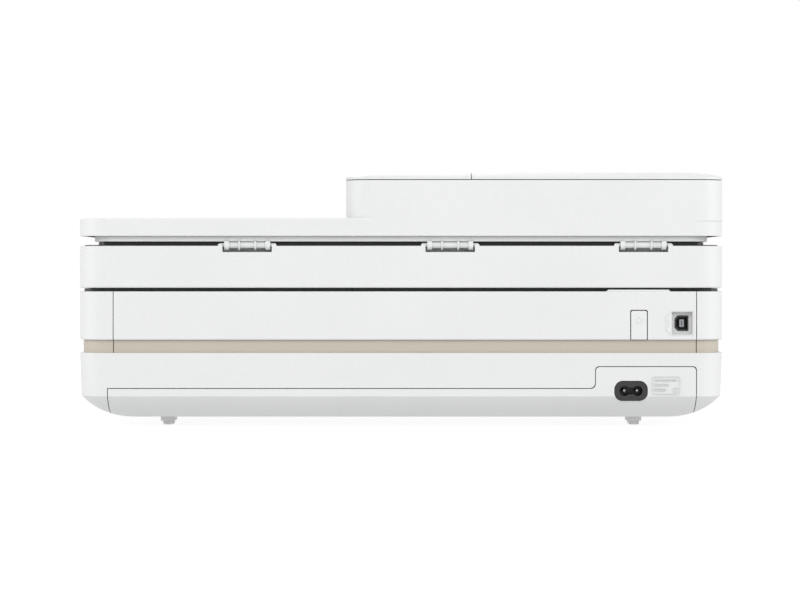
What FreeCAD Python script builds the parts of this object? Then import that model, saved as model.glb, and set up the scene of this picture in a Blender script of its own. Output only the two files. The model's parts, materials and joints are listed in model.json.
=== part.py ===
import FreeCAD, Part
import math
import os

# A compact all-in-one inkjet printer: a casing in stacked layers on a curved hull, a print engine
# inside it, a scanner on top that lifts at the rear, and a lid with a document feeder.
# Millimetres. +Z is up, the front faces -Y, the rear faces +Y, the origin is on the floor at the
# middle of the outline.

# ---- overall outline -------------------------------------------------------------------------
WIDTH = 432.5
DEPTH = 361.0
CORNER_R = 20.0
WALL = 2.4
SEAM = 0.5                 # open line between neighbouring covers
EDGE_R = 1.0               # soft edge of the moulded covers

# ---- heights of the stacked layers -----------------------------------------------------------
Z_FLOOR = 5.8              # underside of the hull, carried by the feet
HULL_RISE = 15.1           # height of the curved underside
HULL_R = 44.0              # radius of that curve
HULL_DRAFT = 1.0           # the lower shell narrows by this much on each side
HULL_CORNER_R = 6.0        # corner radius of the flat underside
Z_BAND = 50.0              # bottom of the accent band
BAND_H = 8.6
BAND_INSET = 2.4
Z_CASE_TOP = 91.0
Z_SCAN = 93.4              # bottom of the scanner housing
SCAN_H = 28.0
BEZEL_INSET = 3.0
BEZEL_PROUD = 0.7
BEZEL_RIM_INSET = 12.5     # low rim round the glass that keeps stray light out
LID_GAP = 3.0              # between the scanner housing and the lid's liner
LINER_H = 3.7
LINER_INSET = 10.3         # at the lid's two ends
LINER_REAR_INSET = 3.6
SLAB_H = 12.0
FEEDER_H = 25.3
COVER_H = 5.0
COVER_EDGE = 1.7           # upright rim of the feeder's covers, below their crown

# ---- rear side -------------------------------------------------------------------------------
PANEL_X = (-196.9, 191.8)  # rear panel, between its two upright seams
PAN_X = (-196.9, 195.7)    # base pan, as the rear shows it
PAN_TOP = 26.0
PAN_STEP_X = -130.0        # from here to the pan's end the pan rises higher
PAN_STEP_TOP = 40.6
PAN_FRONT_Y = -146.0
PAN_CORNER_R = (2.6, 3.5)  # upper corners of the step, and the curve at its foot
TAB_X = (-179.6, -137.2)   # raised tab on the rear panel's top edge
TAB_H = 1.2
INLET_X, INLET_Z = -153.5, 24.6
INLET_W, INLET_H, INLET_R = 21.7, 12.8, 5.4
INLET_PIN_PITCH = 8.6
INLET_PIN_R = 1.15
INLET_DEPTH = 23.0
USB_X, USB_Z = -187.5, 69.8
USB_POCKET_W, USB_POCKET_H = 13.8, 15.0
USB_NOSE_W, USB_NOSE_H = 8.8, 9.8
USB_NOSE_WALL = 0.7
BOARD_T = 1.6
BUTTON_X, BUTTON_W = -158.75, 10.5
BUTTON_Z, BUTTON_TOP = 58.9, 78.1
BUTTON_R = 1.2
BUTTON_GAP = 0.6
INLET_GAP = 0.35
BUTTON_TRAVEL = 1.5

# ---- feet ------------------------------------------------------------------------------------
FOOT_X, FOOT_Y = 159.0, 128.0
FOOT_W, FOOT_L = 6.7, 22.0
FOOT_BOSS_W, FOOT_BOSS_L = 9.7, 26.0
FOOT_PAD_H = 2.6

# ---- paper tray and output -------------------------------------------------------------------
TRAY_W = 252.0
TRAY_WALL = 2.0
TRAY_H = 24.0
TRAY_REAR_Y = 122.0
TRAY_FRONT_W = 300.0
TRAY_FRONT_TOP = 38.5
TRAY_CLEAR = 0.6           # free gap round the tray
OUT_W = 252.0              # width of the output opening
OUT_TOP = 80.0
OUT_PLATE_Z = 40.0
OUT_PLATE_T = 2.5
OUT_PLATE_REAR_Y = 55.0
EXTENDER_W, EXTENDER_L, EXTENDER_T = 116.0, 134.0, 2.0
STOP_W, STOP_L = 40.0, 30.0
GUIDE_X = 108.0            # tray width guides at their widest setting
GUIDE_L, GUIDE_H, GUIDE_T = 90.0, 19.0, 2.0
LENGTH_GUIDE_Y = -150.0
RACK_MODULE = 1.5
PINION_TEETH = 12

# ---- print engine ----------------------------------------------------------------------------
PAPER_Z = 50.0             # sheet level over the platen
PLATE_T = 2.0              # sheet metal of the chassis
LOW_PLATE_X = 132.0        # inner face of the low side plates
HIGH_PLATE_X = 205.0       # inner face of the high side plates
SHELF_Z = 46.0
CHASSIS_FRONT_Y = 54.0
CHASSIS_REAR_Y = 160.0
CHASSIS_TOP = 86.0
FEED_Y, FEED_R = 124.0, 6.0
EXIT_Y = 64.0
TURN_Y, TURN_Z, TURN_R = 142.0, 30.0, 12.0
TURN_GUIDE_R = 20.0
PINCH_R = 3.5
NIP = 0.3                  # sheet gap between two rollers
AXLE_R = 3.0
FIT = 0.05                 # radial running clearance
GEAR_MODULE = 1.0
FEED_TEETH, TURN_TEETH, MOTOR_TEETH = 18, 36, 9
RAIL_Y, RAIL_Z, RAIL_R = 144.0, 66.0, 4.5
CARRIAGE_X = 163.0         # parked over the service station
CARRIAGE_W = 76.0
CARRIAGE_Y = (76.0, 136.0)
CARRIAGE_TOP = 87.0
CART_W, CART_L, CART_H = 33.0, 44.0, 30.0
LATCH_L = 14.0
PULLEY_X, PULLEY_R = 190.0, 6.0
BELT_Y, BELT_W, BELT_T = 155.0, 4.0, 1.2
PICK_PIVOT_Y, PICK_PIVOT_Z = 62.0, 35.6
PICK_ROLLER_Y, PICK_R = 102.0, 9.0
DECK_Z, DECK_T = 88.6, 2.0
DECK_HOLE_X, DECK_HOLE_Y = 150.0, (42.0, 150.0)
RIM_INSET, RIM_T = 3.0, 2.0  # raised rim that the scanner housing closes over
RIM_CLEAR = 0.4

# ---- scanner ---------------------------------------------------------------------------------
SCAN_FLOOR_T = 2.2
SCAN_PIVOT_Y, SCAN_PIVOT_Z = 175.0, 99.0
SCAN_HINGE_X = 190.0
BEZEL_T = 1.5
GLASS_X, GLASS_Y = (-150.0, 154.0), (-112.0, 108.0)
STRIP_X = (-178.0, -160.0)
GLASS_T = 2.8
GLASS_LIP = 4.0
HEAD_W, HEAD_L, HEAD_H = 22.0, 236.0, 12.0
HEAD_ROD_R, HEAD_ROD_Z = 3.0, 100.5
HEAD_X = -169.0
CONTROL_W = 124.0
CONTROL_PIVOT_Z = 116.8
CONTROL_R = 2.3
DISPLAY_W, DISPLAY_H, DISPLAY_T = 72.0, 15.0, 1.0

# ---- lid and document feeder -----------------------------------------------------------------
LID_PIVOT_Y, LID_PIVOT_Z = 177.0, 121.9
LID_HINGE_X = (102.7, -32.8, -161.8)
LID_HINGE_W = 30.6
LID_NOTCH_W = 33.0
LID_NOTCH_Z = 117.3
LID_NOTCH_Y = 170.0
LUG_W, RIB_W, LUG_R = 3.1, 1.2, 3.3
PIN_R = 1.4
FEEDER_X = 37.0            # the feeder's end, measured from the middle of the printer
FEEDER_FRONT_Y = -172.0
FEEDER_R = 19.0
COVER_SPLIT_X = -47.0
COVER_PIVOT_IN = 1.1       # from the cover's end to its pivot
COVER_PIVOT_Z = 167.0
COVER_PIN_R = 0.7
COVER_EAR_Y, COVER_EAR_W, COVER_EAR_L = 110.0, 12.0, 2.5
CHUTE_Z, CHUTE_T = 149.0, 2.0
CHUTE_X = (-62.0, 34.0)
DOC_TURN_X, DOC_TURN_Z, DOC_TURN_R = -169.0, 137.5, 13.0
DOC_PICK_X, DOC_PICK_R = -72.0, 8.0
DOC_EXIT_X, DOC_EXIT_R, DOC_EXIT_Z = -118.0, 3.8, 144.9
DOC_FRAME_Y = 118.0
DOC_GUIDE_Y = 108.0

# ---- values that follow ----------------------------------------------------------------------
HX, HY = WIDTH / 2, DEPTH / 2
Z_CASE = Z_BAND + BAND_H
Z_SCAN_TOP = Z_SCAN + SCAN_H
Z_LINER = Z_SCAN_TOP + LID_GAP
Z_SLAB = Z_LINER + LINER_H
Z_SLAB_TOP = Z_SLAB + SLAB_H
Z_FEEDER = Z_SLAB_TOP + FEEDER_H
Z_COVER = Z_FEEDER + SEAM
Z_INSIDE = Z_FLOOR + WALL
TRAY_Z = Z_INSIDE + TRAY_CLEAR
OUT_Z = OUT_PLATE_Z + OUT_PLATE_T
FEED_Z = PAPER_Z - FEED_R
FAR = 20.0                 # how far a cutting block runs past what it cuts

V = FreeCAD.Vector
X_AXIS, Y_AXIS, Z_AXIS = V(1, 0, 0), V(0, 1, 0), V(0, 0, 1)


# ---- building blocks -------------------------------------------------------------------------
def block(x0, x1, y0, y1, z0, z1):
    """A box between these limits; the X and Y limits may come in either order."""
    return Part.makeBox(abs(x1 - x0), abs(y1 - y0), z1 - z0, V(min(x0, x1), min(y0, y1), z0))


def rod_x(r, x0, x1, y, z):
    return Part.makeCylinder(r, x1 - x0, V(x0, y, z), X_AXIS)


def rod_y(r, y0, y1, x, z):
    return Part.makeCylinder(r, y1 - y0, V(x, y0, z), Y_AXIS)


def rod_z(r, z0, z1, x, y):
    return Part.makeCylinder(r, z1 - z0, V(x, y, z0), Z_AXIS)


def join(shapes):
    first, *rest = shapes
    return first.fuse(rest).removeSplitter() if rest else first


def cut(shape, tools):
    return shape.cut(tools)


def outline(x0, x1, y0, y1, r, z):
    """A rounded rectangle at height z."""
    r = min(r, (x1 - x0) / 2 - 0.01, (y1 - y0) / 2 - 0.01)
    k = r * (1 - math.sqrt(0.5))
    corners = [(x1, y1, 1, 1), (x0, y1, -1, 1), (x0, y0, -1, -1), (x1, y0, 1, -1)]
    edges, last = [], V(x1, y0 + r, z)
    for x, y, sx, sy in corners:
        on_x = V(x, y - sy * r, z)
        on_y = V(x - sx * r, y, z)
        start, end = (on_x, on_y) if sx == sy else (on_y, on_x)
        middle = V(x - sx * k, y - sy * k, z)
        edges.append(Part.LineSegment(last, start).toShape())
        edges.append(Part.Arc(start, middle, end).toShape())
        last = end
    return Part.Wire(edges)


def prism(x0, x1, y0, y1, r, z0, z1, low=0.0, high=0.0):
    """An upright rounded block, its lower and upper outline softened by the radii low and high."""
    solid = Part.Face(outline(x0, x1, y0, y1, r, z0)).extrude(V(0, 0, z1 - z0))
    for z, radius in ((z0, low), (z1, high)):
        if radius:
            edges = [e for e in solid.Edges
                     if abs(e.BoundBox.ZMin - z) < 1e-6 and abs(e.BoundBox.ZMax - z) < 1e-6]
            solid = solid.makeFillet(radius, edges)
    return solid


def layer(inset, z0, z1, low=0.0, high=0.0):
    """A block with the printer's outline, drawn in on all sides."""
    return prism(-HX + inset, HX - inset, -HY + inset, HY - inset, CORNER_R - inset, z0, z1, low, high)


def save(name, shape):
    solids = shape if isinstance(shape, list) else [shape]
    solids = [s for piece in solids for s in piece.Solids]
    result = solids[0] if len(solids) == 1 else Part.makeCompound(solids)
    if not result.isValid():
        print("not valid:", name)
    result.exportStep("parts/" + name + ".step")
    print(name, len(solids), round(result.Volume / 1000.0, 2))


# ---- casing ----------------------------------------------------------------------------------
def hull(inset, lift):
    """The lower shell's outside form, or its inside form when drawn in and lifted."""
    sweep = math.acos(1 - HULL_RISE / HULL_R)
    arc_inset = HULL_R * math.sin(sweep)
    steps = 5
    sections = []
    for i in range(steps + 1):
        angle = sweep * i / steps
        share = i / steps
        side = inset + HULL_DRAFT + arc_inset - HULL_R * math.sin(angle)
        corner = HULL_CORNER_R + (CORNER_R - inset - HULL_CORNER_R) * share
        z = Z_FLOOR + lift + HULL_R * (1 - math.cos(angle))
        sections.append(outline(-HX + side, HX - side, -HY + side, HY - side, corner, z))
    wall_top = outline(-HX + inset, HX - inset, -HY + inset, HY - inset, CORNER_R - inset, Z_BAND + lift)
    bowl = Part.makeLoft(sections, True, False)
    wall = Part.makeLoft([sections[-1], wall_top], True, True)
    return join([bowl, wall])


def tray_opening(gap):
    half = TRAY_FRONT_W / 2 + gap
    return block(-half, half, -HY - FAR, PAN_FRONT_Y - SEAM, 0, TRAY_FRONT_TOP + gap)


def output_opening():
    return block(-OUT_W / 2, OUT_W / 2, -HY - FAR, -HY + 10.0, OUT_Z + 0.2, OUT_TOP)


def pan_region(grow):
    low, high = PAN_X[0] - grow, PAN_X[1] + grow
    lower = block(low, high, PAN_FRONT_Y - grow, HY + FAR, 0, PAN_TOP + grow)
    step = block(low, PAN_STEP_X + grow, HY - 6.0, HY + FAR, 0, PAN_STEP_TOP + grow)
    edges = [e for e in step.Edges if abs(e.Length - (FAR + 6.0)) < 1e-6 and e.BoundBox.ZMin > PAN_TOP]
    top_r, foot_r = PAN_CORNER_R
    x, z = PAN_STEP_X + grow, PAN_TOP + grow
    foot = cut(block(x - 1, x + foot_r, HY - 6.0, HY + FAR, z - 1, z + foot_r),
               rod_y(foot_r, HY - 10.0, HY + FAR + 1, x + foot_r, z + foot_r))
    return join([lower, step.makeFillet(top_r, edges), foot])


def screw_places():
    return [(x, y) for x in (-140.0, 0.0, 140.0) for y in (-120.0, 135.0)]


def make_lower_casing():
    solid = hull(0, 0)
    skin = cut(solid, [hull(WALL, WALL), block(-HX, HX, -HY, HY, Z_BAND, Z_BAND + FAR)])
    inlet = inlet_hole(INLET_GAP)
    pan = skin.common(pan_region(0))
    heads = [rod_z(3.4, 0, Z_FLOOR + 1.5, x, y) for x, y in screw_places()]
    shanks = [rod_z(1.5, 0, Z_INSIDE + 8.0, x, y) for x, y in screw_places()]
    bosses = [rod_z(4.0, Z_INSIDE - 0.1, Z_INSIDE + 0.4, x, y) for x, y in screw_places()]
    steps = [prism(x - FOOT_BOSS_W / 2, x + FOOT_BOSS_W / 2, y - FOOT_BOSS_L / 2, y + FOOT_BOSS_L / 2,
                   4.0,
                   FOOT_PAD_H, Z_FLOOR + 0.1) for x, y in foot_places()]
    save("base_pan", cut(join([pan] + bosses + steps), heads + shanks + [inlet]))
    between = block(-OUT_W / 2, OUT_W / 2, -HY - FAR, -HY + 10.0, TRAY_FRONT_TOP, OUT_Z + 1)
    shell = cut(skin, [pan_region(SEAM), tray_opening(SEAM), output_opening(), between, inlet])
    save("lower_shell", max(shell.Solids, key=lambda s: s.Volume))
    front = skin.common(tray_opening(0))
    return max(front.Solids, key=lambda s: s.Volume)


def foot_places():
    return [(x, y) for x in (-FOOT_X, FOOT_X) for y in (-FOOT_Y, FOOT_Y)]


def make_feet():
    save("rubber_feet", [prism(x - FOOT_W / 2, x + FOOT_W / 2, y - FOOT_L / 2, y + FOOT_L / 2, 3.0, 0,
                               FOOT_PAD_H,
                               low=0.5) for x, y in foot_places()])


def make_screws():
    screws = []
    for x, y in screw_places():
        head = cut(rod_z(3.2, Z_FLOOR + 0.2, Z_FLOOR + 1.5, x, y),
                   [block(x - 2, x + 2, y - 0.4, y + 0.4, 0, Z_FLOOR + 0.8),
                    block(x - 0.4, x + 0.4, y - 2, y + 2, 0, Z_FLOOR + 0.8)])
        screws.append(head.fuse(rod_z(1.5, Z_FLOOR + 1.5, Z_INSIDE + 0.4, x, y)))
    save("case_screws", screws)


def rear_region(grow, z0, z1):
    return block(PANEL_X[0] - grow, PANEL_X[1] + grow, HY - 8.0, HY + FAR, z0, z1)


def make_band():
    ring = cut(layer(BAND_INSET, Z_BAND, Z_CASE), layer(BAND_INSET + WALL, Z_BAND - 1, Z_CASE + 1))
    strip = ring.common(rear_region(0, Z_BAND, Z_CASE))
    save("accent_band", [cut(ring, [rear_region(SEAM, 0, Z_CASE_TOP), output_opening()]), strip])


def button_hole(gap):
    """Open at the bottom edge of the rear panel."""
    half = BUTTON_W / 2 + gap
    hole = prism_y(BUTTON_X - half, BUTTON_X + half, Z_CASE - 5.0, BUTTON_TOP + gap, BUTTON_R, HY - 9.0,
                   HY + 1.0)
    return hole.common(block(-HX, HX, 0, HY + 1, Z_CASE - 2.0, 200))


def prism_y(x0, x1, z0, z1, r, y0, y1):
    """A rounded block that lies along Y."""
    solid = prism(x0, x1, z0, z1, r, -y1, -y0)
    return solid.rotate(V(0, 0, 0), X_AXIS, 90)


def usb_pocket(w, h, y0):
    return block(USB_X - w / 2, USB_X + w / 2, y0, HY + 1.0, USB_Z - h / 2, USB_Z + h / 2)


def usb_nose(grow, y0, y1):
    """The connector's outline: two corners on one side are cut off."""
    half_w, half_h = USB_NOSE_W / 2 + grow, USB_NOSE_H / 2 + grow
    nose = block(USB_X - half_w, USB_X + half_w, y0, y1, USB_Z - half_h, USB_Z + half_h)
    edges = [e for e in nose.Edges if e.BoundBox.YLength > 1 and e.BoundBox.XMin > USB_X]
    return nose.makeChamfer(2.0, edges)


def make_upper_casing():
    ring = cut(layer(0, Z_CASE, Z_CASE_TOP, low=EDGE_R), layer(WALL, Z_CASE - 1, Z_CASE_TOP + 1))
    panel = ring.common(rear_region(0, Z_CASE, Z_CASE_TOP))
    tab = block(TAB_X[0], TAB_X[1], HY - WALL, HY - 0.2, Z_CASE_TOP - 1, Z_CASE_TOP + TAB_H)
    ends = [e for e in tab.Edges if e.BoundBox.ZMin > Z_CASE_TOP + 1 and e.BoundBox.YLength > 1]
    tab = tab.makeChamfer(1.0, ends)
    pocket = cut(usb_pocket(USB_POCKET_W + 3, USB_POCKET_H + 3, HY - 6.0),
                 [usb_pocket(USB_POCKET_W, USB_POCKET_H, HY - 4.5),
                  usb_nose(0.2, HY - 7.0, HY), block(-HX, HX, HY, HY + 2, 0, 200)])
    holes = [button_hole(BUTTON_GAP), usb_pocket(USB_POCKET_W, USB_POCKET_H, HY - 4.0)]
    save("rear_panel", join([cut(join([panel, tab]), holes), pocket]))
    save("upper_casing", cut(ring, [rear_region(SEAM, 0, Z_CASE_TOP + 1), output_opening()]))


def inlet_hole(gap):
    half_w, half_h = INLET_W / 2 + gap, INLET_H / 2 + gap
    return prism_y(INLET_X - half_w, INLET_X + half_w, INLET_Z - half_h, INLET_Z + half_h,
                   INLET_R + gap, HY - 12.0, HY + 3.0)


def make_inlet():
    body = prism_y(INLET_X - INLET_W / 2, INLET_X + INLET_W / 2, INLET_Z - INLET_H / 2,
                   INLET_Z + INLET_H / 2, INLET_R, HY - INLET_DEPTH, HY - 1.6)
    pins_x = [INLET_X - INLET_PIN_PITCH / 2, INLET_X + INLET_PIN_PITCH / 2]
    mouth = join([rod_y(3.4, HY - 16.0, HY, x, INLET_Z) for x in pins_x]
                 + [block(pins_x[0], pins_x[1], HY - 16.0, HY, INLET_Z - 2.2, INLET_Z + 2.2)])
    pins = [rod_y(INLET_PIN_R, HY - 16.0, HY - 5.0, x, INLET_Z) for x in pins_x]
    save("power_inlet", [cut(body, mouth)] + pins)


def make_usb():
    y0, wall_y, mouth_y = CHASSIS_REAR_Y + PLATE_T + BOARD_T, HY - 6.2, HY - 3.6
    half_w, half_h = USB_NOSE_W / 2 + 1.6, USB_NOSE_H / 2 + 1.6
    body = block(USB_X - half_w, USB_X + half_w, y0, wall_y, USB_Z - half_h, USB_Z + half_h)
    mouth = usb_nose(-USB_NOSE_WALL, y0 + 2.5, mouth_y + 1)
    tongue = block(USB_X - 1.6, USB_X + 1.6, y0 + 2.5, mouth_y - 0.8, USB_Z - 2.6, USB_Z + 2.6)
    save("usb_port", cut(join([body, usb_nose(0, wall_y - 1, mouth_y)]), mouth).fuse(tongue))


def make_power_button():
    half = BUTTON_W / 2
    cap = prism_y(BUTTON_X - half, BUTTON_X + half, BUTTON_Z - 5.0, BUTTON_TOP, BUTTON_R, HY - 2.2, HY)
    cap = cap.common(block(-HX, HX, 0, HY + 1, BUTTON_Z, 200))
    stem = block(BUTTON_X - 2, BUTTON_X + 2, HY - 7.0, HY - 2.1, BUTTON_Z + 5, BUTTON_Z + 13)
    save("power_button", cap.fuse(stem))


# ---- power and electronics -------------------------------------------------------------------
def make_electronics():
    base_z = Z_INSIDE + 9.0
    supply = prism(-202.0, -142.0, 60.0, 150.0, 3.0, base_z, SHELF_Z - 3.0)
    legs = block(-178.0, -146.0, 66.0, 140.0, Z_INSIDE, base_z)
    save("power_supply", supply.fuse(legs))
    y0 = CHASSIS_REAR_Y + PLATE_T
    y1 = y0 + BOARD_T
    board = block(-204.0, -96.0, y0, y1, 56.0, 84.0)
    chips = [block(x, x + w, y1, y1 + 1.6, z, z + w)
             for x, z, w in ((-136.0, 62.0, 12.0), (-118.0, 60.0, 8.0), (-118.0, 72.0, 8.0))]
    switch = block(BUTTON_X - 3, BUTTON_X + 3, y1, HY - 7.0 - BUTTON_TRAVEL - 0.3, BUTTON_Z + 6,
                   BUTTON_Z + 12)
    save("main_board", join([board] + chips + [switch]))


# ---- print engine ----------------------------------------------------------------------------
def gear(teeth, module, x0, x1, y, z, phase=0.0):
    """A spur gear about X with straight-sided teeth; phase turns it, in tooth pitches."""
    pitch_r = module * teeth / 2
    root, tip = pitch_r - 1.2 * module, pitch_r + 0.75 * module
    step = 2 * math.pi / teeth
    points = []
    for i in range(teeth):
        middle = (i + phase) * step
        for r, share in ((root, -0.36), (tip, -0.10), (tip, 0.10), (root, 0.36)):
            angle = middle + share * step
            points.append(V(x0, y + r * math.cos(angle), z + r * math.sin(angle)))
    wire = Part.makePolygon(points + [points[0]])
    return Part.Face(wire).extrude(V(x1 - x0, 0, 0))


def motor_place():
    """The motor's pinion meets the feed gear and the turn gear."""
    to_feed = GEAR_MODULE * (MOTOR_TEETH + FEED_TEETH) / 2
    to_turn = GEAR_MODULE * (MOTOR_TEETH + TURN_TEETH) / 2
    dy, dz = TURN_Y - FEED_Y, TURN_Z - FEED_Z
    apart = math.hypot(dy, dz)
    along = (to_feed ** 2 - to_turn ** 2 + apart ** 2) / (2 * apart)
    off = math.sqrt(to_feed ** 2 - along ** 2)
    uy, uz = dy / apart, dz / apart
    return FEED_Y + along * uy + off * uz, FEED_Z + along * uz - off * uy


def mesh_phase(teeth, y, z, other_y, other_z, on_tooth):
    """The phase that turns a tooth, or a gap, towards another gear's axis."""
    angle = math.atan2(other_z - z, other_y - y)
    return angle * teeth / (2 * math.pi) + (0.0 if on_tooth else 0.5)


LOW_OUT = LOW_PLATE_X + PLATE_T
GEAR_A = (LOW_OUT + 1.5, LOW_OUT + 5.0)
GEAR_B = (LOW_OUT + 6.0, LOW_OUT + 9.5)


def make_drive():
    my, mz = motor_place()
    to_feed = mesh_phase(MOTOR_TEETH, my, mz, FEED_Y, FEED_Z, True)
    pinion = gear(MOTOR_TEETH, GEAR_MODULE, GEAR_A[0], GEAR_B[1] + 0.5, my, mz, to_feed)
    save("motor_pinion", pinion.fuse(rod_x(1.5, GEAR_B[1] + 0.5, GEAR_B[1] + 4.0, my, mz)))
    body = cut(rod_x(11.0, GEAR_B[1] + 1.5, GEAR_B[1] + 26.0, my, mz - 1.0),
               rod_x(1.5 + FIT, 0, GEAR_B[1] + 5.0, my, mz))
    foot = block(GEAR_B[1] + 4.0, GEAR_B[1] + 24.0, my - 8, my + 8, Z_INSIDE, mz - 9.0)
    feed_motor = join([body, foot])
    feed_phase = mesh_phase(FEED_TEETH, FEED_Y, FEED_Z, my, mz, False)
    feed_gear = gear(FEED_TEETH, GEAR_MODULE, *GEAR_A, FEED_Y, FEED_Z, feed_phase)
    # the pinion's teeth are fixed by the feed gear, so the turn gear takes its phase from them
    angle = math.atan2(TURN_Z - mz, TURN_Y - my)
    tooth = angle * MOTOR_TEETH / (2 * math.pi) - to_feed
    back = math.atan2(mz - TURN_Z, my - TURN_Y)
    turn_phase = back * TURN_TEETH / (2 * math.pi) + tooth + 0.5
    turn_gear = gear(TURN_TEETH, GEAR_MODULE, *GEAR_B, TURN_Y, TURN_Z, turn_phase)
    end = GEAR_B[1] + 0.5
    rollers = [rod_x(FEED_R, x - 12, x + 12, FEED_Y, FEED_Z) for x in (-90, -45, 0, 45, 90)]
    save("feed_roller", join([rod_x(AXLE_R, -LOW_OUT - 3, end, FEED_Y, FEED_Z), feed_gear] + rollers))
    rollers = [rod_x(TURN_R, x - 10, x + 10, TURN_Y, TURN_Z) for x in (-60, 0, 60)]
    save("turn_roller", join([rod_x(AXLE_R, -LOW_OUT - 3, end, TURN_Y, TURN_Z), turn_gear] + rollers))
    rollers = [rod_x(FEED_R, x - 8, x + 8, EXIT_Y, FEED_Z) for x in (-90, -45, 0, 45, 90)]
    save("exit_roller", join([rod_x(AXLE_R, -LOW_OUT - 0.8, LOW_OUT + 0.8, EXIT_Y, FEED_Z)] + rollers))
    return feed_motor


def make_chassis(pinch_frame):
    plates = []
    for side in (-1, 1):
        low, high = side * LOW_PLATE_X, side * LOW_OUT
        plates.append(block(low, high, CHASSIS_FRONT_Y, CHASSIS_REAR_Y + PLATE_T,
                            Z_INSIDE, SHELF_Z + PLATE_T))
        plates.append(block(low, side * (HIGH_PLATE_X + PLATE_T),
                            CHASSIS_FRONT_Y, CHASSIS_REAR_Y + PLATE_T, SHELF_Z, SHELF_Z + PLATE_T))
        a, b = side * HIGH_PLATE_X, side * (HIGH_PLATE_X + PLATE_T)
        plates.append(block(a, b, CHASSIS_FRONT_Y, CHASSIS_REAR_Y + PLATE_T,
                            SHELF_Z, CHASSIS_TOP))
    plates.append(block(-HIGH_PLATE_X - PLATE_T, HIGH_PLATE_X + PLATE_T, CHASSIS_REAR_Y,
                        CHASSIS_REAR_Y + PLATE_T, PAPER_Z + 4.0, CHASSIS_TOP))
    plates.append(block(-HIGH_PLATE_X, -LOW_PLATE_X, CHASSIS_REAR_Y, CHASSIS_REAR_Y + PLATE_T,
                        SHELF_Z, PAPER_Z + 4.0))
    plates.append(block(LOW_PLATE_X, HIGH_PLATE_X, CHASSIS_REAR_Y, CHASSIS_REAR_Y + PLATE_T,
                        SHELF_Z, PAPER_Z + 4.0))
    my, mz = motor_place()
    holes = [rod_x(r + FIT, -300, 300, y, z) for r, y, z in (
        (AXLE_R, FEED_Y, FEED_Z), (AXLE_R, TURN_Y, TURN_Z), (AXLE_R, EXIT_Y, FEED_Z),
        (2.0, PICK_PIVOT_Y, PICK_PIVOT_Z))]
    holes += [rod_x(RAIL_R, -300, 300, RAIL_Y, RAIL_Z),
              block(LOW_OUT + 0.5, GEAR_B[1] + 27.0, my - 12.0, TURN_Y + 20.0, SHELF_Z - 1, SHELF_Z + 5),
              block(LOW_OUT + 0.5, HIGH_PLATE_X - 10, 66.0, 112.0, SHELF_Z - 1, SHELF_Z + 5),
              block(-300, 300, 142.0, 300, 0, 18.0),
              rod_y(3.0, CHASSIS_REAR_Y - 1, CHASSIS_REAR_Y + 5, PULLEY_X, RAIL_Z)]
    save("print_chassis", [cut(join(plates), holes), pinch_frame])
    save("carriage_rail", rod_x(RAIL_R, -HIGH_PLATE_X - PLATE_T - 2, HIGH_PLATE_X + PLATE_T + 2, RAIL_Y,
                                RAIL_Z))


def make_paper_path():
    slab = block(-112.0, 112.0, EXIT_Y + FEED_R + 1.0, FEED_Y - FEED_R - 1.0, SHELF_Z - 2.0,
                 PAPER_Z - 2.0)
    ribs = [block(x - 0.75, x + 0.75, EXIT_Y + FEED_R + 1.5, FEED_Y - FEED_R - 1.5, PAPER_Z - 2.0,
                  PAPER_Z - 0.4)
            for x in range(-105, 106, 14)]
    beam = block(-LOW_PLATE_X, LOW_PLATE_X, 84.0, 100.0, SHELF_Z - 6.0, SHELF_Z - 2.0)
    platen = join([slab, beam] + ribs)
    outer = rod_x(TURN_GUIDE_R + 1.5, -114.0, 114.0, TURN_Y, TURN_Z)
    inner = rod_x(TURN_GUIDE_R, -115.0, 115.0, TURN_Y, TURN_Z)
    half = block(-115.0, 115.0, TURN_Y, TURN_Y + 40.0, 0, 80.0)
    ears = [block(s * 113.0, s * LOW_PLATE_X,
                  TURN_Y + 10.0, TURN_Y + 14.0, 22.0, 38.0) for s in (-1, 1)]
    guide = join([cut(outer, inner).common(half)] + ears)
    z = PAPER_Z + NIP + PINCH_R
    arm = block(-108.0, 108.0, FEED_Y + 6.0, CHASSIS_REAR_Y, z + 3.2, z + 4.4)
    ears, rollers = [], []
    for x in (-90, -45, 0, 45, 90):
        rollers.append(rod_x(PINCH_R, x - 9, x + 9, FEED_Y, z))
        for end in (x - 12, x + 10):
            ears.append(block(end, end + 2, FEED_Y - 2.2, FEED_Y + 8.0, z - 1.5, z + 4.4))
    bore = rod_x(1.2 + FIT, -120, 120, FEED_Y, z)
    save("paper_guides", [platen, guide])
    save("pinch_rollers", join([rod_x(1.2, -104, 104, FEED_Y, z)] + rollers))
    return cut(join([arm] + ears), bore)


def cartridge_x():
    return [CARRIAGE_X - CART_W / 2 - 1.5, CARRIAGE_X + CART_W / 2 + 1.5]


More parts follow.
